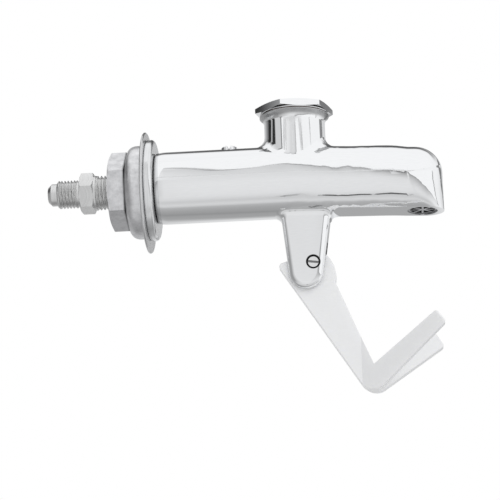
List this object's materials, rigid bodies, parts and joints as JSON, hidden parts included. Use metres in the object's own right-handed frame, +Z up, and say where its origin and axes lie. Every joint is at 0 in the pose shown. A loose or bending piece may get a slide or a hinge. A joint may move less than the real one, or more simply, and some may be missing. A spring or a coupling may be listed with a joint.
{
  "type": "push-back glass filler",
  "caption": "Chromed glass filler tap for a panel: a glass pushed against its forked lever lifts the valve and lets water out of the drooping spout.",
  "frame": {"origin": "where the tube's axis meets the front face of the panel that the filler is clamped to", "axes": "+X forward out of the panel along the tube, +Y across, +Z up; the lever hangs below in the middle plane"},
  "size_m": [0.1553, 0.0542, 0.1145],
  "materials": {
    "chromed_brass": "polished chrome",
    "dull_plating": "dull plating",
    "bright_steel": "bright rolled steel",
    "nickel_plating": "satin nickel plating",
    "plain_brass": "turned brass",
    "spring_steel": "drawn wire",
    "screw_steel": "turned stainless steel",
    "outlet_metal": "plated",
    "black_rubber": "matte",
    "fibre_gasket": "pressed fibre",
    "white_nylon": "satin moulded nylon"
  },
  "bodies": {
    "housing": {"body": "chromed_brass", "shank": "chromed_brass", "shank_gasket": "fibre_gasket", "front_flange": "chromed_brass", "panel_washer": "bright_steel", "dome_washer": "dull_plating", "locknut": "dull_plating", "flare_adapter": "nickel_plating", "bonnet_cap": "chromed_brass", "cap_gasket": "fibre_gasket", "return_spring": "spring_steel", "valve_seat": "plain_brass", "seat_gasket": "fibre_gasket", "stem_bushing": "plain_brass", "lower_stem_ring": "black_rubber", "upper_stem_ring": "black_rubber", "outlet_straightener": "outlet_metal", "pivot_screw": "screw_steel"},
    "lever_arm": {"lever": "white_nylon"},
    "stem": {"valve_stem": "plain_brass", "seat_washer": "black_rubber", "washer_nut": "plain_brass"},
    "flow_adjuster": {"flow_screw": "chromed_brass", "flow_screw_ring": "black_rubber"}
  },
  "joints": [
    {"name": "lever_push", "type": "hinge", "parent": "housing", "child": "lever_arm", "pos_m": [0.0638, 0, -0.0336], "axis": [0, 1, 0], "range_deg": [0, 25], "stiffness_Nm_per_rad": 0.035, "springref_deg": -42.4},
    {"name": "stem_lift", "type": "slide", "parent": "housing", "child": "stem", "axis": [0, 0, 1], "range_m": [0, 0.00235], "deforming": ["return_spring"]},
    {"name": "flow_turn", "type": "hinge", "parent": "housing", "child": "flow_adjuster", "pos_m": [0.0321, 0, 0.008], "axis": [0, 0, 1], "range_deg": [0, 270]}
  ],
  "couplings": [
    {"joint": "lever_push", "follows": "stem_lift", "rad_per_m": 185.2}
  ]
}
